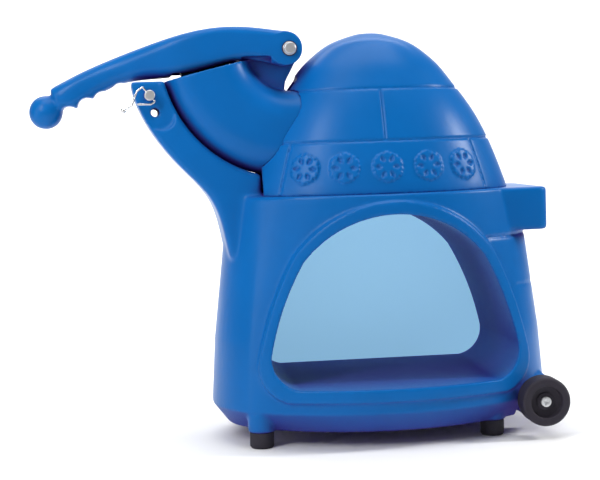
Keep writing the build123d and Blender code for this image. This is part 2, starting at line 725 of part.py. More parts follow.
blade_proud = 0.8
with BuildPart() as cutter_blades:
    for turn in blade_turns:
        with Locations(Location((disc_x, 0, axis_z), (turn, 0, 0))):
            with Locations((2.6 - blade_proud, 0, 44.0)):
                Box(5.2, 3.0, 39.8)
save(cutter_blades.part, "cutter_blades")

with BuildPart() as blade_screws:
    for turn in blade_turns:
        with Locations(Location((disc_x, 0, axis_z), (turn, 0, 0))):
            for lift in (30.0, 56.0):
                with Locations(Location((2.5, -6.5, lift), (0, 90, 0))):
                    Cylinder(1.6, 5.0)
                with Locations(Location((-0.7, -6.5, lift), (0, 90, 0))):
                    Cylinder(3.2, 1.4)
save(blade_screws.part, "blade_screws")

motor_end_x = motor_start_x + motor_length
with BuildPart() as motor_shaft:
    add(cylinder_x(shaft_r, disc_x - 1.5, motor_end_x + bell_length - 4, 0, axis_z))
save(motor_shaft.part, "motor_shaft")

with BuildPart() as hub_nut:
    with BuildSketch(Plane.YZ.offset(disc_x)):
        with Locations((0, axis_z)):
            RegularPolygon(12.0, 6)
            Circle(shaft_r, mode=Mode.SUBTRACT)
    extrude(amount=-3.5)
save(hub_nut.part, "hub_nut")

with BuildPart() as motor_body:
    add(cylinder_x(motor_r, motor_start_x, motor_end_x, 0, axis_z))
    # cooling flutes along the outside
    flute_r = motor_r + 0.6
    for turn in range(0, 360, 20):
        flute_y = flute_r * sin(radians(turn))
        flute_z = axis_z + flute_r * cos(radians(turn))
        add(cylinder_x(2.0, motor_start_x + 8, motor_end_x - 8, flute_y, flute_z), mode=Mode.SUBTRACT)
    add(cylinder_x(shaft_r + run_gap, 60, 220, 0, axis_z), mode=Mode.SUBTRACT)
save(motor_body.part, "motor_body")

with BuildPart() as motor_end_bells:
    add(cylinder_x(motor_r + 1.5, motor_start_x - 10, motor_start_x, 0, axis_z))
    fillet(motor_end_bells.faces().sort_by(Axis.X)[0].edges(), 5.0)
    add(cylinder_x(shaft_r + run_gap, 60, 230, 0, axis_z), mode=Mode.SUBTRACT)
    add(cylinder_x(motor_r + 1.5, motor_end_x, motor_end_x + bell_length, 0, axis_z))
    fillet(motor_end_bells.faces().sort_by(Axis.X)[-1].edges(), 6.0)
    bell_bore = cylinder_x(shaft_r + run_gap, motor_end_x - 1, motor_end_x + bell_length - 3, 0, axis_z)
    add(bell_bore, mode=Mode.SUBTRACT)
save(motor_end_bells.part, "motor_end_bells")

plate_top_z = ledge_z + 6.0
with BuildPart() as motor_plate:
    add(block(96, 190, -62, 62, ledge_z, plate_top_z))
    for x, y in plate_bolt_spots:
        add(cylinder_z(3.05, ledge_z - 1, plate_top_z + 1, x, y), mode=Mode.SUBTRACT)
save(motor_plate.part, "motor_plate")

with BuildPart() as motor_cradle:
    add(block(112, 168, -38, 38, plate_top_z, axis_z - 18))
    add(block(122, 158, -60, 60, plate_top_z + 10, axis_z), mode=Mode.SUBTRACT)
    add(cylinder_x(motor_r, 90, 200, 0, axis_z), mode=Mode.SUBTRACT)
save(motor_cradle.part, "motor_cradle")

with BuildPart() as motor_bolts:
    for x, y in plate_bolt_spots:
        add(cylinder_z(3.0, ledge_z - 12, plate_top_z + 0.02, x, y))
        with BuildSketch(Plane.XY.offset(plate_top_z)):
            with Locations((x, y)):
                RegularPolygon(5.8, 6)
        extrude(amount=4.2)
save(motor_bolts.part, "motor_bolts")

housing_end_x = chute_end_x + housing_depth
with BuildPart() as cutter_housing:
    add(cylinder_x(housing_r, chute_end_x, housing_end_x, 0, axis_z))
    for y in (-65.0, 65.0):
        add(block(housing_end_x - 14, housing_end_x, y - 8, y + 8, ledge_z, ledge_z + 44))
    add(
        cylinder_x(housing_r - housing_wall, chute_end_x + housing_wall, housing_end_x + 20, 0, axis_z),
        mode=Mode.SUBTRACT,
    )
    add(chute_solid(chute_wall, 12), mode=Mode.SUBTRACT)
    # outlet at the bottom, over the duct
    outlet_half_y = duct_half_y - duct_wall
    outlet_x = (chute_end_x + housing_wall, housing_end_x + 1)
    outlet_z = (ledge_z - 5, ledge_z + 30)
    add(block(*outlet_x, -outlet_half_y, outlet_half_y, *outlet_z), mode=Mode.SUBTRACT)
    for x, y in housing_screw_spots:
        add(block(x - 8, x + 20, y - 5.5, y + 5.5, ledge_z + 5, ledge_z + 60), mode=Mode.SUBTRACT)
        add(cylinder_z(2.55, ledge_z - 1, ledge_z + 6, x, y), mode=Mode.SUBTRACT)
save(cutter_housing.part, "cutter_housing")

with BuildPart() as housing_screws:
    for x, y in housing_screw_spots:
        add(cylinder_z(2.5, ledge_z - 12, ledge_z + 5.02, x, y))
        add(cylinder_z(4.4, ledge_z + 5, ledge_z + 8, x, y))
save(housing_screws.part, "housing_screws")

with BuildPart() as drop_duct:
    add(block(duct_x - duct_half_x, duct_x + duct_half_x, -duct_half_y, duct_half_y, duct_low_z, duct_top_z))
    bore_half_x = duct_half_x - duct_wall
    bore_half_y = duct_half_y - duct_wall
    duct_bore = block(duct_x - bore_half_x, duct_x + bore_half_x, -bore_half_y, bore_half_y, 200, 400)
    add(duct_bore, mode=Mode.SUBTRACT)
    add(cylinder_x(housing_r + duct_gap, 0, 100, 0, axis_z), mode=Mode.SUBTRACT)
    add(arch_bar(-4.0), mode=Mode.SUBTRACT)
save(drop_duct.part, "drop_duct")

with BuildPart() as dome_screws:
    for x, y in dome_screw_spots:
        add(cylinder_z(2.5, ledge_z - 12, ledge_z + 4.02, x, y))
        add(cylinder_z(4.6, ledge_z + 4, ledge_z + 7, x, y))
save(dome_screws.part, "dome_screws")

# ================================================================ rear window
with BuildPart() as rear_window:
    extrude(arch_section(-0.4).moved(Location((0, window_y, 0))), amount=window_thick)
save(rear_window.part, "rear_window")

with BuildPart() as window_clips:
    for x in clip_xs:
        add(block(x - 9, x + 9, clip_front_y, clip_front_y + clip_depth, arch_floor_z - 1, arch_floor_z + 12))
    for x in top_clip_xs:
        add(block(x - 9, x + 9, clip_front_y, clip_front_y + clip_depth, arch_top_z - 15, arch_top_z + 1))
    add(arch_bar(-0.1), mode=Mode.INTERSECT)
    for x in clip_xs + top_clip_xs:
        add(cylinder_z(2.05, 60, 300, x, clip_screw_y), mode=Mode.SUBTRACT)
save(window_clips.part, "window_clips")

with BuildPart() as window_screws:
    for x in clip_xs:
        add(cylinder_z(2.0, arch_floor_z - 9, arch_floor_z + 12.02, x, clip_screw_y))
        add(cylinder_z(3.8, arch_floor_z + 12, arch_floor_z + 14.2, x, clip_screw_y))
    for x in top_clip_xs:
        add(cylinder_z(2.0, arch_top_z - 15.02, arch_top_z + 6, x, clip_screw_y))
        add(cylinder_z(3.8, arch_top_z - 17.2, arch_top_z - 15, x, clip_screw_y))
save(window_screws.part, "window_screws")

# ================================================================ feet
foot_spots = [(x, y) for x in foot_xs for y in (-foot_y, foot_y)]
with BuildPart() as rubber_feet:
    for x, y in foot_spots:
        with BuildSketch(Plane.XY):
            with Locations((x, y)):
                Circle(foot_r - 1.5)
        extrude(amount=2.0)
        with BuildSketch(Plane.XY.offset(2.0)):
            with Locations((x, y)):
                Circle(foot_r)
        extrude(amount=base_z - 2.0)
        add(cylinder_z(6.2, -1, 9, x, y), mode=Mode.SUBTRACT)
        add(cylinder_z(3.1, -1, 30, x, y), mode=Mode.SUBTRACT)
save(rubber_feet.part, "rubber_feet")

with BuildPart() as foot_screws:
    for x, y in foot_spots:
        add(cylinder_z(3.0, 8.98, 38, x, y))
        add(cylinder_z(5.5, 5.6, 9, x, y))
save(foot_screws.part, "foot_screws")

# ================================================================ wheels
wheel_in_y = wheel_face_y - wheel_width
axle_end_y = wheel_face_y - 8.8
with BuildPart() as axle:
    add(cylinder_y(axle_r, -axle_end_y, axle_end_y, wheel_x, wheel_z))
    add(cylinder_y(3.0, -axle_end_y, -axle_end_y + 14, wheel_x, wheel_z), mode=Mode.SUBTRACT)
    add(cylinder_y(3.0, axle_end_y - 14, axle_end_y, wheel_x, wheel_z), mode=Mode.SUBTRACT)
save(axle.part, "axle")

with BuildPart() as axle_spacers:
    for hand in (-1, 1):
        add(cylinder_y(spacer_r, hand * (wheel_in_y - 2.4), hand * (wheel_in_y - 0.2), wheel_x, wheel_z))
    add(cylinder_y(axle_r, -150, 150, wheel_x, wheel_z), mode=Mode.SUBTRACT)
save(axle_spacers.part, "axle_spacers")


def wheel_piece(hand):
    """Solid moulded wheel with a dished outer face."""
    with BuildPart() as wheel:
        add(cylinder_y(wheel_r, hand * wheel_in_y, hand * wheel_face_y, wheel_x, wheel_z))
        fillet(wheel.edges().filter_by(GeomType.CIRCLE), 4.0)
        dish_y = hand * (wheel_face_y - wheel_dish_depth)
        add(cylinder_y(wheel_dish_r, dish_y, hand * (wheel_face_y + 5), wheel_x, wheel_z), mode=Mode.SUBTRACT)
        add(cylinder_y(wheel_bore_r, -250, 250, wheel_x, wheel_z), mode=Mode.SUBTRACT)
    return wheel.part


def bush_piece(hand):
    """Plain sleeve the wheel turns on."""
    with BuildPart() as bush:
        bush_end_y = wheel_face_y - wheel_dish_depth
        add(cylinder_y(wheel_bore_r, hand * wheel_in_y, hand * bush_end_y, wheel_x, wheel_z))
        add(cylinder_y(axle_r + run_gap, -200, 200, wheel_x, wheel_z), mode=Mode.SUBTRACT)
    return bush.part


save(wheel_piece(-1), "front_wheel")
save(wheel_piece(1), "rear_wheel")
save(bush_piece(-1), "front_wheel_bush")
save(bush_piece(1), "rear_wheel_bush")

with BuildPart() as wheel_washers:
    for hand in (-1, 1):
        add(cylinder_y(spacer_r, hand * axle_end_y, hand * (axle_end_y + 1.5), wheel_x, wheel_z))
    add(cylinder_y(3.0, -200, 200, wheel_x, wheel_z), mode=Mode.SUBTRACT)
save(wheel_washers.part, "wheel_washers")

with BuildPart() as wheel_screws:
    for hand in (-1, 1):
        start = axle_end_y + 1.5
        add(cylinder_y(3.0, hand * (start - 12), hand * (start + 0.02), wheel_x, wheel_z))
        add(cylinder_y(6.3, hand * start, hand * (start + 3.6), wheel_x, wheel_z))
        for turn in (0, 90):
            with Locations(Location((wheel_x, hand * (start + 3.6), wheel_z), (0, turn + 20, 0))):
                Box(7.0, 3.0, 1.5, mode=Mode.SUBTRACT)
save(wheel_screws.part, "wheel_screws")

# ================================================================ switch and cord gland
rocker_y = switch_face_y - 3.0
rocker_pin_r = 1.5
rocker_half = 9.4
well_half = rocker_half + 2.0
with BuildPart() as switch_housing:
    add(block(switch_x - 14, switch_x + 14, switch_face_y - 22, switch_face_y, switch_z - 9, switch_z + 9))
    add(block(switch_x - 17, switch_x + 17, switch_face_y, switch_face_y + 2.5, switch_z - 12, switch_z + 12))
    # well that the rocker sits in, with the two blind holes its pins turn in
    well_x = (switch_x - well_half, switch_x + well_half)
    well_y = (switch_face_y - 13, switch_face_y + 9)
    add(block(*well_x, *well_y, switch_z - 6.3, switch_z + 6.3), mode=Mode.SUBTRACT)
    pin_hole = cylinder_z(rocker_pin_r + run_gap, switch_z - 8.0, switch_z + 8.0, switch_x, rocker_y)
    add(pin_hole, mode=Mode.SUBTRACT)
save(switch_housing.part, "switch_housing")

with BuildPart() as rocker:
    rocker_x = (switch_x - rocker_half, switch_x + rocker_half)
    add(block(*rocker_x, rocker_y - 4, rocker_y + 7, switch_z - 6.0, switch_z + 6.0))
    with Locations(Location((switch_x, rocker_y + 27.2, switch_z))):
        Cylinder(22.0, 20, mode=Mode.SUBTRACT)
    add(cylinder_z(rocker_pin_r, switch_z - 7.8, switch_z + 7.8, switch_x, rocker_y))
save(rocker.part, "rocker")

with BuildPart() as cord_gland:
    add(cylinder_y(8.0, gland_face_y - 20, gland_face_y + 1, gland_x, gland_z))
    with BuildSketch(Plane.XZ.offset(-gland_face_y)):
        with Locations((gland_x, gland_z)):
            RegularPolygon(14.0, 6)
    extrude(amount=-7.0)
    add(cylinder_y(11.0, gland_face_y + 7, gland_face_y + 20, gland_x, gland_z))
    fillet(cord_gland.faces().sort_by(Axis.Y)[-1].edges(), 4.0)
    add(cylinder_y(4.2, gland_face_y - 30, gland_face_y + 30, gland_x, gland_z), mode=Mode.SUBTRACT)
save(cord_gland.part, "cord_gland")
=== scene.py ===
"""Looks of a blue moulded shaved ice machine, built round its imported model."""

import math

import bmesh
import bpy
from mathutils import Matrix, Vector


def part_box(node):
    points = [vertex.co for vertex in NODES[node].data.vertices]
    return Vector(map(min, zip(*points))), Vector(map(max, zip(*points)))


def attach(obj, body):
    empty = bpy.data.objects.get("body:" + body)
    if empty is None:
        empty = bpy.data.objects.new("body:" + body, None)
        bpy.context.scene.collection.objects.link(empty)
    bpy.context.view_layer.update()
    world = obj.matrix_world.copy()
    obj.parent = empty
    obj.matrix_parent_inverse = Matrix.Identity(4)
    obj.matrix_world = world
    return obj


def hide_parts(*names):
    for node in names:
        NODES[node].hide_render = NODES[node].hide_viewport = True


bl_info = {
    "name": "Shaved ice machine looks",
    "version": (1, 0, 0),
    "blender": (4, 5, 0),
    "location": "View3D > Sidebar > Ice machine",
    "description": "Soft mouldings, fittings, finishes and studio for a shaved ice machine",
    "category": "Object",
}

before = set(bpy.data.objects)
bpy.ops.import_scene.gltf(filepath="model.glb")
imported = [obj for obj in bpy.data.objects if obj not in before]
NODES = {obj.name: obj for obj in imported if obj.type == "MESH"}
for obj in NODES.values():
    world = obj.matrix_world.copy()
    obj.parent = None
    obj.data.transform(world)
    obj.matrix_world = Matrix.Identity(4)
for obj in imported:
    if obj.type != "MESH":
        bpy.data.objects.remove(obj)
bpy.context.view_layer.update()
MM = 0.001
MOST_TRIANGLES = 180000
WELD_GAP = 0.01 * MM


# ------------------------------------------------------------------ shader maths
class Sock:
    """A socket that does sums: each operator adds a Math node."""

    def __init__(self, tree, out):
        self.tree = tree
        self.out = out

    def _math(self, kind, other, swap=False):
        values = [other, self] if swap else [self, other]
        return node(self.tree, "ShaderNodeMath", {"operation": kind}, *values)

    def __add__(self, other):
        return self._math("ADD", other)

    __radd__ = __add__

    def __sub__(self, other):
        return self._math("SUBTRACT", other)

    def __rsub__(self, other):
        return self._math("SUBTRACT", other, swap=True)

    def __mul__(self, other):
        return self._math("MULTIPLY", other)

    __rmul__ = __mul__


def node(tree, kind, settings=None, *values, out=0, **named):
    """Adds a node: settings first, then its sockets in order or by name."""
    made = tree.nodes.new(kind)
    for key, value in (settings or {}).items():
        setattr(made, key, value)
    pairs = list(enumerate(values)) + [(k.replace("_", " "), v) for k, v in named.items()]
    for key, value in pairs:
        if value is None:
            continue
        target = made.inputs[key]
        if isinstance(value, Sock):
            tree.links.new(value.out, target)
        else:
            target.default_value = value
    return Sock(tree, made.outputs[out])


def mix_colour(tree, factor, first, second, blend="MIX"):
    """Two colours mixed by a factor."""
    made = tree.nodes.new("ShaderNodeMix")
    made.data_type = "RGBA"
    made.blend_type = blend
    for socket, value in ((made.inputs[0], factor), (made.inputs[6], first), (made.inputs[7], second)):
        if isinstance(value, Sock):
            tree.links.new(value.out, socket)
        else:
            socket.default_value = value
    return Sock(tree, made.outputs[2])


class Finish:
    """One named material with a Principled shader and helpers for its patterns."""

    def __init__(self, name, **constants):
        self.material = bpy.data.materials.new(name)
        self.material.use_nodes = True
        self.tree = self.material.node_tree
        self.shader = self.tree.nodes["Principled BSDF"]
        for key, value in constants.items():
            self.shader.inputs[key.replace("_", " ")].default_value = value
        self.place = node(self.tree, "ShaderNodeTexCoord", {}, out="Object")

    def add(self, kind, settings=None, *values, out=0, **named):
        return node(self.tree, kind, settings, *values, out=out, **named)

    def noise(self, scale, detail=3.0, rough=0.5, stretch=None):
        place = self.place
        if stretch:
            place = self.add("ShaderNodeMapping", {}, place, Scale=stretch)
        return self.add(
            "ShaderNodeTexNoise", {}, Vector=place, Scale=scale, Detail=detail, Roughness=rough, out="Fac"
        )

    def cells(self, scale):
        return self.add("ShaderNodeTexVoronoi", {}, Vector=self.place, Scale=scale, out="Distance")

    def band(self, value, low, high):
        """0 below low, 1 above high, straight between."""
        return self.add(
            "ShaderNodeMapRange", {"clamp": True},
            Value=value, From_Min=low, From_Max=high, To_Min=0.0, To_Max=1.0,
        )

    def edges(self, radius):
        """1 on sharp outward edges, 0 on flats."""
        soft = self.add("ShaderNodeBevel", {"samples": 4}, Radius=radius)
        plain = self.add("ShaderNodeNewGeometry", {}, out="Normal")
        dot = self.add("ShaderNodeVectorMath", {"operation": "DOT_PRODUCT"}, soft, plain, out="Value")
        return self.band(1.0 - dot, 0.02, 0.22)

    def painted_shade_mask(self, reach, low, high, alone=False):
        """Painted-shade mask from ambient occlusion: 0 in the open, rising to 1 in hollows and between
        parts; alone leaves out what other pieces hide.
        """
        open_share = self.add(
            "ShaderNodeAmbientOcclusion", {"samples": 6, "only_local": alone}, Distance=reach, out="AO"
        )
        return self.band(1.0 - open_share, low, high)

    def mix(self, factor, first, second, blend="MIX"):
        return mix_colour(self.tree, factor, first, second, blend)

    def plug(self, name, value):
        self.tree.links.new(value.out, self.shader.inputs[name])

    def bump(self, height, strength, distance, below=None):
        return self.add(
            "ShaderNodeBump", {}, Height=height, Strength=strength, Distance=distance, Normal=below
        )


def rgba(colour, factor=1.0):
    return (colour[0] * factor, colour[1] * factor, colour[2] * factor, 1.0)


def blue_plastic(look):
    """Rotomoulded polyethylene: waxy, faintly mottled, fine orange-peel skin, handled edges, with painted
    violet shade in hollows.
    """
    f = Finish("moulded_blue", IOR=1.5, Specular_IOR_Level=0.16)
    base = tuple(look.blue)
    mottle = f.band(f.noise(9.0, 4.0, 0.55), 0.3, 0.7)
    drift = f.band(f.noise(2.3, 2.0), 0.35, 0.65)
    body = f.mix(mottle, rgba(base, 0.93), rgba(base, 1.07))
    body = f.mix(drift * 0.30, body, rgba((base[0] * 1.6, base[1] * 1.10, base[2] * 1.04)))
    # painted shade: ambient occlusion at two reaches darkens the blue toward the violet shade colour in
    # hollows, inside the passage and between parts
    inside = f.painted_shade_mask(260 * MM, 0.26, 0.52, alone=True)
    near_painted_shade = f.painted_shade_mask(110 * MM, 0.42, 0.85)
    painted_shade_amount = 1.0 - (1.0 - inside) * (1.0 - near_painted_shade)
    body = f.mix(painted_shade_amount * 0.92, body, rgba(tuple(look.shade)))
    worn = f.edges(1.6 * MM) * f.band(f.noise(55.0, 5.0, 0.6), 0.45, 0.7)
    body = f.mix(worn * 0.28, body, rgba((base[0] * 5 + 0.03, base[1] * 1.6, base[2] * 1.25)))
    scuff = f.band(f.noise(70.0, 6.0, 0.7, (1.0, 1.0, 0.12)), 0.66, 0.8)
    body = f.mix(scuff * 0.08, body, rgba((0.10, 0.26, 0.55)))
    f.plug("Base Color", body)
    haze = f.noise(16.0, 4.0, 0.6)
    f.plug("Roughness", 0.27 + haze * 0.12 + scuff * 0.14 + worn * 0.12 + painted_shade_amount * 0.34)
    peel = f.noise(420.0, 2.0, 0.5)
    wave = f.noise(26.0, 2.0, 0.4)
    pits = f.band(f.cells(260.0), 0.0, 0.18)
    skin = f.bump(peel * 0.5 + pits * 0.25, 0.12, 0.3 * MM)
    f.plug("Normal", f.bump(wave, 0.12, 2.0 * MM, skin))
    return f.material


def plain_plastic(name, colour, rough, grain=520.0, depth=0.2):
    """Injection-moulded plastic with a fine spark-eroded grain."""
    f = Finish(name, IOR=1.48)
    tone = f.band(f.noise(24.0, 3.0), 0.3, 0.7)
    worn = f.edges(0.7 * MM)
    body = f.mix(tone, rgba(colour, 0.92), rgba(colour, 1.08))
    lighter = tuple(min(1.0, c * 1.6 + 0.02) for c in colour)
    f.plug("Base Color", f.mix(worn * 0.4, body, rgba(lighter)))
    f.plug("Roughness", rough + f.noise(60.0, 4.0) * 0.14)
    f.plug("Normal", f.bump(f.cells(grain), depth, 0.12 * MM))
    return f.material


def rubber(name, colour):
    """Soft black rubber with a dusty bloom in its pores."""
    f = Finish(name, IOR=1.5)
    dust = f.band(f.noise(46.0, 5.0, 0.65), 0.42, 0.8)
    body = f.mix(dust * 0.5, rgba(colour), rgba(tuple(c + 0.03 for c in colour)))
    f.plug("Base Color", body)
    f.plug("Roughness", 0.62 + f.noise(80.0) * 0.2)
    f.plug("Normal", f.bump(f.noise(650.0, 3.0), 0.35, 0.15 * MM))
    return f.material


def steel(name, colour, rough, brushed=(1.0, 1.0, 1.0), scale=300.0):
    """Bright metal with fine drawing lines and a few dull spots."""
    f = Finish(name, Metallic=1.0)
    line = f.noise(scale, 3.0, 0.6, brushed)
    spots = f.band(f.noise(38.0, 5.0, 0.6), 0.55, 0.8)
    body = f.mix(spots * 0.5, rgba(colour), rgba(colour, 0.68))
    f.plug("Base Color", body)
    f.plug("Roughness", rough + line * 0.14 + spots * 0.16)
    f.plug("Normal", f.bump(line, 0.12, 0.05 * MM))
    return f.material


def painted(name, colour):
    """Stoved enamel over steel, a little orange peel."""
    f = Finish(name, IOR=1.5)
    tone = f.band(f.noise(30.0, 3.0), 0.3, 0.7)
    f.plug("Base Color", f.mix(tone, rgba(colour, 0.85), rgba(colour, 1.2)))
    f.plug("Roughness", 0.34 + f.noise(50.0) * 0.12)
    f.plug("Normal", f.bump(f.noise(340.0, 2.0), 0.12, 0.2 * MM))
    return f.material


def window_sheet(look):
    """Pale blue frosted sheet with a painted glow: emission stands in for the light coming through it
    from behind.
    """
    base = tuple(look.window)
    # painted light: the emission makes the sheet glow in its tint, as if lit from behind
    f = Finish("tinted_sheet", IOR=1.49, Emission_Strength=0.76, Specular_IOR_Level=0.2)
    f.shader.inputs["Emission Color"].default_value = rgba(base)
    tone = f.band(f.noise(5.0, 2.0), 0.3, 0.7)
    f.plug("Base Color", f.mix(tone, rgba(base, 0.98), rgba(base, 1.02)))
    f.plug("Roughness", 0.40 + f.noise(40.0, 4.0) * 0.10)
    f.plug("Normal", f.bump(f.noise(120.0, 3.0), 0.05, 0.1 * MM))
    return f.material


# ------------------------------------------------------------------ settings
class LookSettings(bpy.types.PropertyGroup):
    blue: bpy.props.FloatVectorProperty(
        name="Body blue", description="Colour of the moulded body",
        default=(0.0012, 0.122, 0.415), subtype="COLOR",
    )
    # painted shade colour: the violet the body blue is darkened toward in hollows, standing in for shade
    shade: bpy.props.FloatVectorProperty(
        name="Deep blue", description="Colour down in hollows, where the blue turns violet",
        default=(0.046, 0.014, 0.225), subtype="COLOR",
    )
    # also the colour of the rear window's painted glow
    window: bpy.props.FloatVectorProperty(
        name="Window blue", description="Tint of the rear window",
        default=(0.285, 0.55, 0.745), subtype="COLOR",
    )
    black: bpy.props.FloatVectorProperty(
        name="Wheel black", description="Colour of wheels and switch",
        default=(0.015, 0.012, 0.026), subtype="COLOR",
    )
    white: bpy.props.FloatVectorProperty(
        name="Food plastic", description="Colour of the white food-grade parts",
        default=(0.80, 0.81, 0.80), subtype="COLOR",
    )


class ShapeSettings(bpy.types.PropertyGroup):
    body_cell: bpy.props.FloatProperty(
        name="Cabinet grid", description="Grid size of the cabinet's skin",
        default=0.0021, min=0.001, unit="LENGTH",
    )
    dome_cell: bpy.props.FloatProperty(
        name="Dome grid", description="Grid size of the dome's skin",
        default=0.0013, min=0.0008, unit="LENGTH",
    )
    fine_cell: bpy.props.FloatProperty(
        name="Lever grid", description="Grid size of the lever and chute",
        default=0.0015, min=0.0008, unit="LENGTH",
    )
    body_rounds: bpy.props.IntProperty(
        name="Cabinet rounding", description="Smoothing passes on the cabinet", default=6, min=0
    )
    dome_rounds: bpy.props.IntProperty(
        name="Dome rounding", description="Smoothing passes on the dome", default=3, min=0
    )
    fine_rounds: bpy.props.IntProperty(
        name="Lever rounding", description="Smoothing passes on the lever and chute", default=8, min=0
    )


class StageSettings(bpy.types.PropertyGroup):
    distance: bpy.props.FloatProperty(
        name="Camera distance", description="From the lens to the middle of the machine",
        default=1.9, unit="LENGTH",
    )
    turn: bpy.props.FloatProperty(
        name="Camera turn", description="Round to the lever side",
        default=math.radians(6.7), subtype="ANGLE",
    )
    drop: bpy.props.FloatProperty(
        name="Camera tilt", description="Looking down", default=math.radians(4.14), subtype="ANGLE"
    )
    roll: bpy.props.FloatProperty(
        name="Camera roll", description="Tilt of the frame", default=0.033, subtype="ANGLE"
    )
    floor: bpy.props.FloatVectorProperty(
        name="Floor", description="Pale studio floor", default=(0.93, 0.93, 0.93), subtype="COLOR"
    )


def look():
    return bpy.context.scene.ice_look


def shape():
    return bpy.context.scene.ice_shape


def blue():
    """The one blue finish that all four mouldings share."""
    return bpy.data.materials.get("moulded_blue") or blue_plastic(look())


def food_plastic():
    """White plastic that is fit for food."""
    made = bpy.data.materials.get("food_plastic")
    return made or plain_plastic("food_plastic", tuple(look().white), 0.36)


def zinc():
    """Bright zinc plating, shared by all the fasteners."""
    return bpy.data.materials.get("zinc_steel") or steel("zinc_steel", (0.66, 0.67, 0.69), 0.24)


def black_moulding():
    """Black plastic shared by wheels, switch, gland, pusher and bushes."""
    made = bpy.data.materials.get("black_plastic")
    return made or plain_plastic("black_plastic", tuple(look().black), 0.38)


# ------------------------------------------------------------------ mesh helpers
def adopt(obj, name, body, slot, material, *nodes):
    """Names a finished piece, gives it its finish and hands it to the frame."""
    obj.name = name
    obj.data.name = name
    obj.data.materials.clear()
    obj.data.materials.append(material)
    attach(obj, body)
    if nodes:
        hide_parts(*nodes)
    return obj


def new_object(name, mesh):
    obj = bpy.data.objects.new(name, mesh)
    bpy.context.collection.objects.link(obj)
    return obj


def baked(obj):
    """The object with its modifiers turned into plain mesh."""
    graph = bpy.context.evaluated_depsgraph_get()
    mesh = bpy.data.meshes.new_from_object(obj.evaluated_get(graph))
    obj.modifiers.clear()
    old = obj.data
    obj.data = mesh
    bpy.data.meshes.remove(old)
    return obj


def relax(obj, rounds, group=""):
    """Smooths a piece a little, everywhere or where a vertex group says."""
    soften = obj.modifiers.new("relax", "SMOOTH")
    soften.factor = 0.5
    soften.iterations = rounds
    soften.vertex_group = group


def soft_moulding(node_name, cell, rounds, zones=()):
    """Copy of a node as a soft-edged moulding: regular skin, then its edges relaxed.

    Each zone is (low corner, high corner, fade, rounds): a box where the joint is blended more.
    """
    obj = new_object(node_name + "_moulding", NODES[node_name].data.copy())
    weld = obj.modifiers.new("weld", "WELD")
    weld.merge_threshold = WELD_GAP
    grid = obj.modifiers.new("skin", "REMESH")
    grid.mode = "VOXEL"
    grid.voxel_size = cell
    baked(obj)
    for index, (low, high, fade, extra) in enumerate(zones):
        group = obj.vertex_groups.new(name="blend_" + str(index))
        for vertex in obj.data.vertices:
            gap = max(max(low[k] - vertex.co[k], vertex.co[k] - high[k]) for k in range(3))
            if gap < fade:
                group.add([vertex.index], 1.0 if gap <= 0 else 1.0 - gap / fade, "REPLACE")
        relax(obj, extra, group.name)
    relax(obj, rounds)
    baked(obj)
    obj.data.calc_loop_triangles()
    count = len(obj.data.loop_triangles)
    if count > MOST_TRIANGLES:
        thin = obj.modifiers.new("thin", "DECIMATE")
        thin.ratio = MOST_TRIANGLES / count
        baked(obj)
    obj.data.shade_smooth()
    return obj


def eased(node_name, width, body, slot, material):
    """Copy of a hard fitting with its sharp edges broken."""
    obj = new_object(node_name + "_eased", NODES[node_name].data.copy())
    bm = bmesh.new()
    bm.from_mesh(obj.data)
    bmesh.ops.remove_doubles(bm, verts=bm.verts, dist=WELD_GAP)
    bmesh.ops.dissolve_limit(bm, angle_limit=math.radians(1.0), verts=bm.verts, edges=bm.edges)
    bm.to_mesh(obj.data)
    bm.free()
    ease = obj.modifiers.new("ease", "BEVEL")
    ease.width = width
    ease.segments = 2
    ease.limit_method = "ANGLE"
    ease.angle_limit = math.radians(40.0)
    ease.use_clamp_overlap = True
    baked(obj)
    obj.data.shade_smooth()
    obj.data.set_sharp_from_angle(angle=math.radians(50.0))
    return adopt(obj, node_name + "_eased", body, slot, material, node_name)


def dress(material, names):
    """Gives each CAD node in a spaced list its finish."""
    for name in names.split():
        data = NODES[name].data
        data.materials.clear()
        data.materials.append(material)


# ------------------------------------------------------------------ operators
class ICE_OT_cabinet(bpy.types.Operator):
    """Soft cabinet moulding with its neck blended in"""

    bl_idname = "ice.cabinet"
    bl_label = "Cabinet"

    def execute(self, context):
        s = shape()
        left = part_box("cabinet")[0].x
        half_width = 85 * MM
        neck_root = (
            (left + 85 * MM, -half_width, 225 * MM), (left + 165 * MM, half_width, 325 * MM), 30 * MM, 24
        )
        piece = soft_moulding("cabinet", s.body_cell, s.body_rounds, (neck_root,))
        adopt(piece, "cabinet_moulding", "cabinet", "blue_plastic", blue(), "cabinet")
        return {"FINISHED"}


class ICE_OT_dome(bpy.types.Operator):
    """Igloo dome with crisp block joints and snow crystals"""

    bl_idname = "ice.dome"
    bl_label = "Dome cover"

    def execute(self, context):
        s = shape()
        piece = soft_moulding("dome_cover", s.dome_cell, s.dome_rounds)
        adopt(piece, "dome_cover_moulding", "cabinet", "blue_plastic", blue(), "dome_cover")
        return {"FINISHED"}


class ICE_OT_chute(bpy.types.Operator):
    """Curved feed chute"""

    bl_idname = "ice.chute"
    bl_label = "Feed chute"

    def execute(self, context):
        s = shape()
        piece = soft_moulding("feed_chute", s.fine_cell, s.fine_rounds)
        adopt(piece, "feed_chute_moulding", "cabinet", "blue_plastic", blue(), "feed_chute")
        return {"FINISHED"}


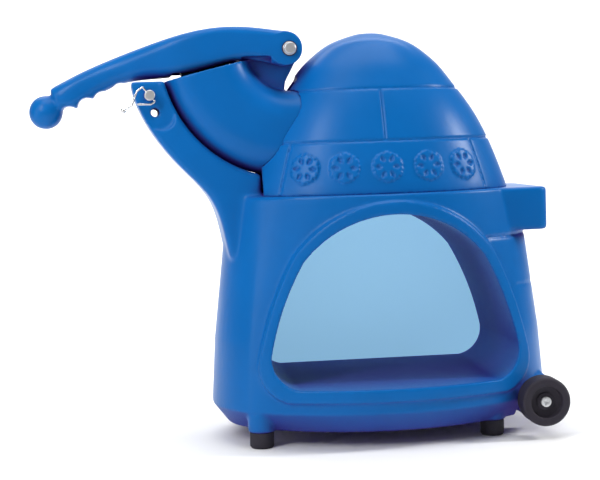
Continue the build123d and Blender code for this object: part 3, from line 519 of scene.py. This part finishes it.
class ICE_OT_lever(bpy.types.Operator):
    """Feed lever with its finger grip and end knob"""

    bl_idname = "ice.lever"
    bl_label = "Feed lever"

    def execute(self, context):
        s = shape()
        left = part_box("lever_arm")[0].x
        half_width = 30 * MM
        knob_neck = (
            (left + 24 * MM, -half_width, 410 * MM), (left + 48 * MM, half_width, 480 * MM), 14 * MM, 60
        )
        piece = soft_moulding("lever_arm", s.fine_cell, s.fine_rounds, (knob_neck,))
        adopt(piece, "lever_arm_moulding", "lever", "blue_plastic", blue(), "lever_arm")
        return {"FINISHED"}


class ICE_OT_window(bpy.types.Operator):
    """Rear window with its clips and their screws"""

    bl_idname = "ice.window"
    bl_label = "Rear window"

    def execute(self, context):
        dress(window_sheet(look()), "rear_window")
        dress(food_plastic(), "window_clips")
        dress(zinc(), "window_screws")
        return {"FINISHED"}


class ICE_OT_pivot(bpy.types.Operator):
    """Lever pivot: bolt, nut, washers and bushes"""

    bl_idname = "ice.pivot"
    bl_label = "Lever pivot"

    def execute(self, context):
        for name, width in (("pivot_bolt", 0.4), ("pivot_nut", 0.5), ("pivot_washers", 0.3)):
            eased(name, width * MM, "cabinet", "zinc_steel", zinc())
        dress(black_moulding(), "lever_bushes")
        return {"FINISHED"}


class ICE_OT_pin(bpy.types.Operator):
    """Retaining pin and its spring clip"""

    bl_idname = "ice.pin"
    bl_label = "Retaining pin"

    def execute(self, context):
        eased("retaining_pin", 0.4 * MM, "pin", "zinc_steel", zinc())
        dress(steel("spring_wire", (0.74, 0.74, 0.75), 0.14, scale=200.0), "pin_clip")
        return {"FINISHED"}


class ICE_OT_wheels(bpy.types.Operator):
    """Wheels with their axle, bushes, washers and screws"""

    bl_idname = "ice.wheels"
    bl_label = "Wheels and axle"

    def execute(self, context):
        black = black_moulding()
        eased("front_wheel", 1.2 * MM, "front_roller", "black_plastic", black)
        eased("rear_wheel", 1.2 * MM, "rear_roller", "black_plastic", black)
        eased("wheel_washers", 0.4 * MM, "cabinet", "black_plastic", black)
        eased("wheel_screws", 0.35 * MM, "cabinet", "zinc_steel", zinc())
        dress(zinc(), "axle axle_spacers")
        bearing = plain_plastic("bearing_plastic", (0.55, 0.54, 0.50), 0.42)
        dress(bearing, "front_wheel_bush rear_wheel_bush")
        return {"FINISHED"}


class ICE_OT_feet(bpy.types.Operator):
    """Rubber feet and their screws"""

    bl_idname = "ice.feet"
    bl_label = "Feet"

    def execute(self, context):
        soft_black = rubber("foot_rubber", (0.016, 0.013, 0.024))
        eased("rubber_feet", 1.0 * MM, "cabinet", "black_rubber", soft_black)
        dress(zinc(), "foot_screws")
        return {"FINISHED"}


class ICE_OT_switch(bpy.types.Operator):
    """Power switch with its rocker, and the cord gland"""

    bl_idname = "ice.switch"
    bl_label = "Switch and gland"

    def execute(self, context):
        eased("switch_housing", 0.6 * MM, "cabinet", "black_plastic", black_moulding())
        red = plain_plastic("switch_red", (0.42, 0.018, 0.016), 0.30)
        eased("rocker", 0.5 * MM, "rocker", "rocker_red", red)
        eased("cord_gland", 0.6 * MM, "cabinet", "black_plastic", black_moulding())
        return {"FINISHED"}


class ICE_OT_drive(bpy.types.Operator):
    """Cutter, motor and pusher inside the dome and the chute"""

    bl_idname = "ice.drive"
    bl_label = "Cutter, motor and pusher"

    def execute(self, context):
        dress(black_moulding(), "pusher")
        dress(food_plastic(), "drop_duct")
        dress(painted("motor_enamel", (0.05, 0.052, 0.056)), "motor_body")
        alloy = steel("cast_alloy", (0.60, 0.61, 0.62), 0.42)
        dress(alloy, "motor_end_bells cutter_housing cutter_disc")
        plate = steel("zinc_plate", (0.56, 0.57, 0.58), 0.34)
        dress(plate, "motor_plate motor_cradle")
        ground = steel("ground_steel", (0.68, 0.69, 0.70), 0.22, (1, 14, 1))
        dress(ground, "cutter_blades motor_shaft")
        dress(zinc(), "dome_screws motor_bolts housing_screws pusher_bolts blade_screws hub_nut")
        return {"FINISHED"}


# ------------------------------------------------------------------ studio
def studio_floor(colour):
    """Floor that turns up into a back wall."""
    half_width, front, bend, wall_height = 7.0, -6.0, 1.2, 5.0
    bend_start = 2.2
    profile = [(front, 0.0), (bend_start, 0.0)]
    for turn in range(10, 91, 10):
        a = math.radians(turn)
        profile.append((bend_start + bend * math.sin(a), bend - bend * math.cos(a)))
    profile.append((bend_start + bend, wall_height))
    mesh = bpy.data.meshes.new("floor")
    bm = bmesh.new()
    rows = [[bm.verts.new((x, y, z)) for x in (-half_width, half_width)] for y, z in profile]
    for a, b in zip(rows, rows[1:]):
        bm.faces.new((a[0], a[1], b[1], b[0]))
    bm.to_mesh(mesh)
    bm.free()
    mesh.shade_smooth()
    floor = new_object("floor", mesh)
    f = Finish("studio_floor", Roughness=0.9)
    speck = f.band(f.noise(3.0, 3.0), 0.2, 0.8)
    f.plug("Base Color", f.mix(speck, rgba(colour, 0.99), rgba(colour, 1.0)))
    mesh.materials.append(f.material)


def studio_air(strength):
    """White light from all round."""
    world = bpy.data.worlds.new("studio_air")
    world.use_nodes = True
    background = world.node_tree.nodes["Background"]
    background.inputs["Color"].default_value = (1.0, 1.0, 1.0, 1.0)
    background.inputs["Strength"].default_value = strength
    bpy.context.scene.world = world


def studio_lights():
    """Soft boxes, each with its place, watts, width and height, and what it points at."""
    middle = (0.05, 0.0, 0.30)
    lights = (
        ("left_box", (-0.85, -0.95, 1.15), 11.5, (0.26, 0.9), middle),
        ("left_strip", (-1.60, -0.70, 0.55), 4.5, (0.20, 1.1), middle),
        ("right_box", (1.62, -0.28, 1.02), 17.0, (0.16, 0.40), middle),
        ("top_box", (0.1, -0.2, 2.2), 24.0, (1.8, 1.2), middle),
        ("front_fill", (-0.3, -3.0, 1.2), 3.0, (2.2, 1.4), middle),
        ("back_wash", (0.0, 1.4, 2.4), 110.0, (3.0, 0.8), (0.0, 3.2, 0.3)),
    )
    for name, place, power, size, target in lights:
        data = bpy.data.lights.new(name, "AREA")
        data.energy = power
        data.shape = "RECTANGLE"
        data.size, data.size_y = size
        lamp = new_object(name, data)
        aim = (Vector(target) - Vector(place)).to_track_quat("-Z", "Y")
        lamp.matrix_world = Matrix.Translation(place) @ aim.to_matrix().to_4x4()


def studio_camera(s):
    """Camera aimed at the middle of the machine, turned, tilted and rolled as the settings say."""
    sensor_width = 36.0
    width_in_view = 780 * MM
    target = Vector((0.012, 0.0, 0.251))
    data = bpy.data.cameras.new("camera")
    camera = new_object("camera", data)
    level = math.cos(s.drop)
    ahead = Vector((math.sin(s.turn) * level, math.cos(s.turn) * level, -math.sin(s.drop)))
    side = Vector((math.cos(s.turn), -math.sin(s.turn), 0.0))
    up = side.cross(ahead)
    c, r = math.cos(s.roll), math.sin(s.roll)
    right = side * c - up * r
    above = side * r + up * c
    spin = Matrix((right, above, -ahead)).transposed().to_4x4()
    camera.matrix_world = Matrix.Translation(target - ahead * s.distance) @ spin
    data.sensor_width = sensor_width
    data.lens = sensor_width * s.distance / width_in_view
    data.clip_start = 0.05
    bpy.context.scene.camera = camera


class ICE_OT_studio(bpy.types.Operator):
    """Pale floor, soft lights and the camera"""

    bl_idname = "ice.studio"
    bl_label = "Studio"

    def execute(self, context):
        s = context.scene.ice_stage
        studio_floor(s.floor)
        studio_air(0.11)
        studio_lights()
        studio_camera(s)
        context.scene.view_settings.view_transform = "Standard"
        return {"FINISHED"}


# ------------------------------------------------------------------ panel and run
class ICE_PT_panel(bpy.types.Panel):
    """Buttons for each group of the machine"""

    bl_label = "Shaved ice machine"
    bl_idname = "ICE_PT_panel"
    bl_space_type = "VIEW_3D"
    bl_region_type = "UI"
    bl_category = "Ice machine"

    def draw(self, context):
        for settings in (context.scene.ice_look, context.scene.ice_shape, context.scene.ice_stage):
            for key in settings.__annotations__:
                self.layout.prop(settings, key)
        for step in STEPS:
            self.layout.operator(step.bl_idname)


STEPS = (
    ICE_OT_cabinet,
    ICE_OT_dome,
    ICE_OT_chute,
    ICE_OT_lever,
    ICE_OT_window,
    ICE_OT_pivot,
    ICE_OT_pin,
    ICE_OT_wheels,
    ICE_OT_feet,
    ICE_OT_switch,
    ICE_OT_drive,
    ICE_OT_studio,
)
CLASSES = (LookSettings, ShapeSettings, StageSettings) + STEPS + (ICE_PT_panel,)


def register():
    for cls in CLASSES:
        bpy.utils.register_class(cls)
    bpy.types.Scene.ice_look = bpy.props.PointerProperty(type=LookSettings)
    bpy.types.Scene.ice_shape = bpy.props.PointerProperty(type=ShapeSettings)
    bpy.types.Scene.ice_stage = bpy.props.PointerProperty(type=StageSettings)


def unregister():
    for name in ("ice_look", "ice_shape", "ice_stage"):
        delattr(bpy.types.Scene, name)
    for cls in reversed(CLASSES):
        bpy.utils.unregister_class(cls)


def main():
    register()
    for step in STEPS:
        family, name = step.bl_idname.split(".")
        if getattr(getattr(bpy.ops, family), name)() != {"FINISHED"}:
            raise RuntimeError(step.bl_idname + " did not finish")


if __name__ == "__main__":
    main()
